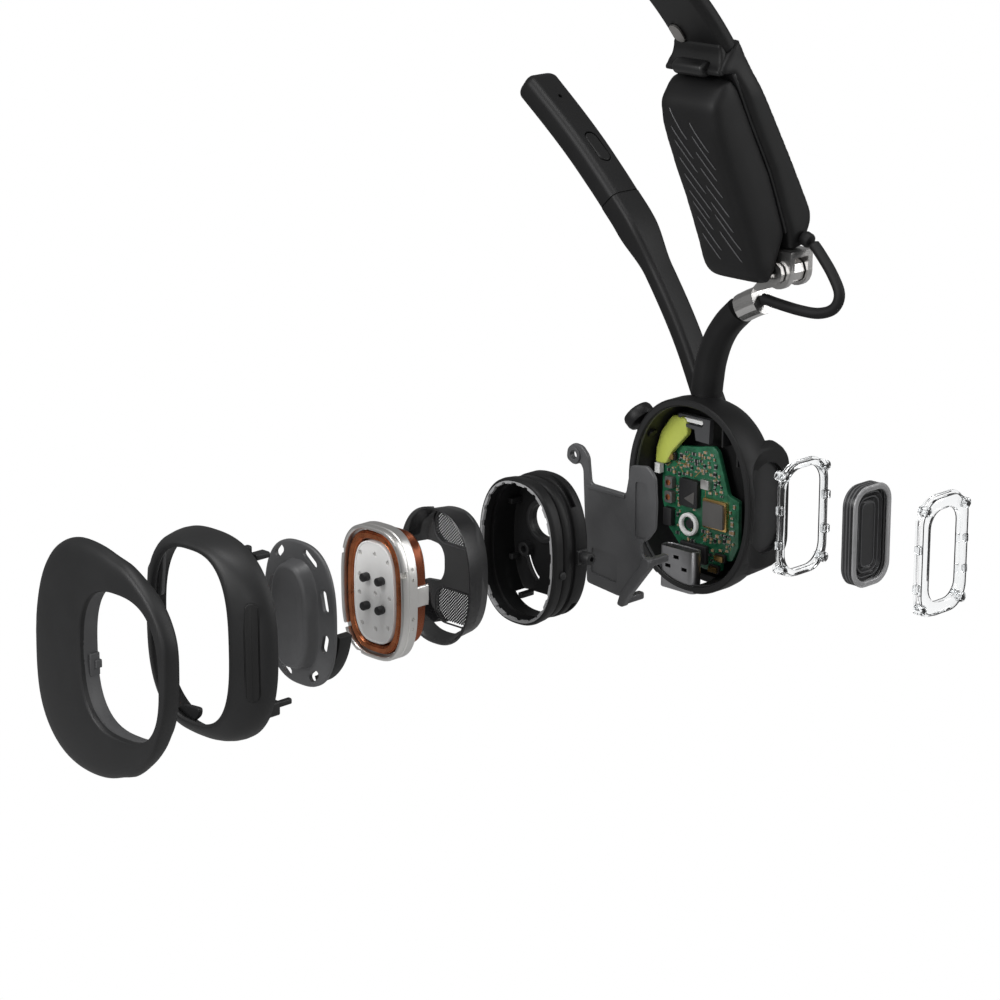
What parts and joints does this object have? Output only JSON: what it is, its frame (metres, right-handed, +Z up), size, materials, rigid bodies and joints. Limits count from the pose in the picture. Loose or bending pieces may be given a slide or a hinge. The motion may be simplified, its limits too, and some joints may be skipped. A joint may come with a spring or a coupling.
{
  "type": "bone conduction headphones",
  "caption": "Right half of an over-head bone conduction headset with boom microphone and temple pad, its ear pod laid out in a line of separate inner pieces.",
  "frame": {"origin": "centre of the flat face at the crown, on the wearer's midplane, where the mirrored half joins", "axes": "+X towards the wearer's left and out of the crown face, -Y forwards, +Z up"},
  "size_m": [0.1496, 0.1049, 0.1419],
  "materials": {
    "charcoal_plastic": "satin moulded, fine texture",
    "soft_rubber": "soft matte",
    "grey_plastic": "satin moulded",
    "satin_steel": "satin",
    "copper": "enamelled copper",
    "gold": "plated",
    "board_green": "solder mask",
    "cell_foil": "glossy film",
    "chip_black": "moulded",
    "chip_grey": "satin lid",
    "white_plastic": "satin",
    "clear_plastic": "clear moulded",
    "acoustic_mesh": "fine woven mesh"
  },
  "bodies": {
    "crown": {"crown_band": "charcoal_plastic", "size_slider": "satin_steel", "band_inlay": "white_plastic"},
    "temple": {"temple_housing": "charcoal_plastic", "temple_cell": "cell_foil", "temple_pad": "soft_rubber", "pad_clip": "charcoal_plastic", "hinge_fork": "satin_steel", "hinge_screw": "satin_steel", "cable_loop": "soft_rubber", "cable_gland": "soft_rubber"},
    "pod": {"ear_hook": "charcoal_plastic", "pod_housing": "charcoal_plastic", "top_ledge": "grey_plastic", "hook_sleeve": "satin_steel", "usb_c_shell": "satin_steel", "contact_spring_1": "gold", "contact_spring_2": "gold", "contact_spring_3": "gold", "circuit_board": "board_green", "pod_cell": "cell_foil", "memory_chip": "chip_black", "inductor_upper": "chip_black", "inductor_lower": "chip_black", "usb_c_tongue": "chip_black", "usb_c_cradle": "chip_black", "sound_processor": "chip_grey", "radio_module": "chip_grey", "charge_chip": "chip_grey", "sensor_ring": "white_plastic", "cell_tab": "white_plastic", "status_light": "white_plastic"},
    "boom": {"boom_arm": "charcoal_plastic", "mic_head": "charcoal_plastic", "mic_capsule": "gold"},
    "mute_key": {"mute_button": "soft_rubber"},
    "front_key": {"front_button": "charcoal_plastic"},
    "cover": {"ear_cover": "charcoal_plastic"},
    "bezel": {"front_ring": "charcoal_plastic", "ring_insert": "soft_rubber"},
    "contact": {"contact_plate": "charcoal_plastic", "arc_foam": "soft_rubber"},
    "transducer": {"transducer_frame": "satin_steel", "coil_ring": "copper", "driver_plate": "satin_steel", "drive_stud_1": "soft_rubber", "drive_stud_2": "soft_rubber", "drive_stud_3": "soft_rubber", "drive_stud_4": "soft_rubber", "voice_coil": "copper"},
    "screen": {"mesh_frame": "chip_black", "mesh_upper": "acoustic_mesh", "mesh_lower": "acoustic_mesh"},
    "cup": {"basket": "charcoal_plastic"},
    "bracket": {"bracket_plate": "grey_plastic"},
    "port_seat": {"port_frame": "clear_plastic"},
    "radiator": {"radiator_rim": "clear_plastic", "radiator_cone": "soft_rubber"},
    "lens": {"port_lens": "clear_plastic"}
  },
  "joints": [
    {"name": "band_adjust", "type": "hinge", "parent": "crown", "child": "temple", "pos_m": [-0.01314, 0, -0.07922], "axis": [0, -1, 0], "range_deg": [0, 8]},
    {"name": "arm_fold", "type": "hinge", "parent": "temple", "child": "pod", "pos_m": [-0.0889, 0.0059, -0.075], "axis": [-1, 0, 0], "range_deg": [-8, 25], "deforming": ["cable_loop"]},
    {"name": "boom_swing", "type": "hinge", "parent": "pod", "child": "boom", "pos_m": [-0.095, -0.0115, -0.119], "axis": [1, 0, 0], "range_deg": [-25, 75]},
    {"name": "mute_press", "type": "slide", "parent": "boom", "child": "mute_key", "axis": [0, -0.65, -0.76], "range_m": [0, 0.0004], "stiffness_N_per_m": 2000},
    {"name": "front_press", "type": "slide", "parent": "pod", "child": "front_key", "axis": [0, 0.7771, -0.6293], "range_m": [0, 0.0005], "stiffness_N_per_m": 2000},
    {"name": "transducer_seat", "type": "slide", "parent": "pod", "child": "transducer", "axis": [-1, 0, 0], "range_m": [0, 0.0723]},
    {"name": "cover_seat", "type": "slide", "parent": "pod", "child": "cover", "axis": [-1, 0, 0], "range_m": [0, 0.1221]},
    {"name": "bezel_seat", "type": "slide", "parent": "pod", "child": "bezel", "axis": [-1, 0, 0], "range_m": [0, 0.1113]},
    {"name": "contact_seat", "type": "slide", "parent": "pod", "child": "contact", "axis": [-1, 0, 0], "range_m": [0, 0.0859]},
    {"name": "screen_seat", "type": "slide", "parent": "pod", "child": "screen", "axis": [-1, 0, 0], "range_m": [0, 0.0606]},
    {"name": "cup_seat", "type": "slide", "parent": "pod", "child": "cup", "axis": [-1, 0, 0], "range_m": [0, 0.0389]},
    {"name": "bracket_seat", "type": "slide", "parent": "pod", "child": "bracket", "axis": [-1, 0, 0], "range_m": [0, 0.0247]},
    {"name": "port_seat_seat", "type": "slide", "parent": "pod", "child": "port_seat", "axis": [0, -1, 0], "range_m": [0, 0.0072]},
    {"name": "radiator_seat", "type": "slide", "parent": "pod", "child": "radiator", "axis": [0, -1, 0], "range_m": [0, 0.021]},
    {"name": "lens_seat", "type": "slide", "parent": "pod", "child": "lens", "axis": [0, -1, 0], "range_m": [0, 0.0356]}
  ],
  "couplings": [
    {"joint": "cover_seat", "follows": "transducer_seat", "ratio": 1.6888},
    {"joint": "bezel_seat", "follows": "transducer_seat", "ratio": 1.5394},
    {"joint": "contact_seat", "follows": "transducer_seat", "ratio": 1.1881},
    {"joint": "screen_seat", "follows": "transducer_seat", "ratio": 0.83817},
    {"joint": "cup_seat", "follows": "transducer_seat", "ratio": 0.53804},
    {"joint": "bracket_seat", "follows": "transducer_seat", "ratio": 0.34163},
    {"joint": "port_seat_seat", "follows": "transducer_seat", "ratio": 0.099585},
    {"joint": "radiator_seat", "follows": "transducer_seat", "ratio": 0.29046},
    {"joint": "lens_seat", "follows": "transducer_seat", "ratio": 0.49239}
  ]
}
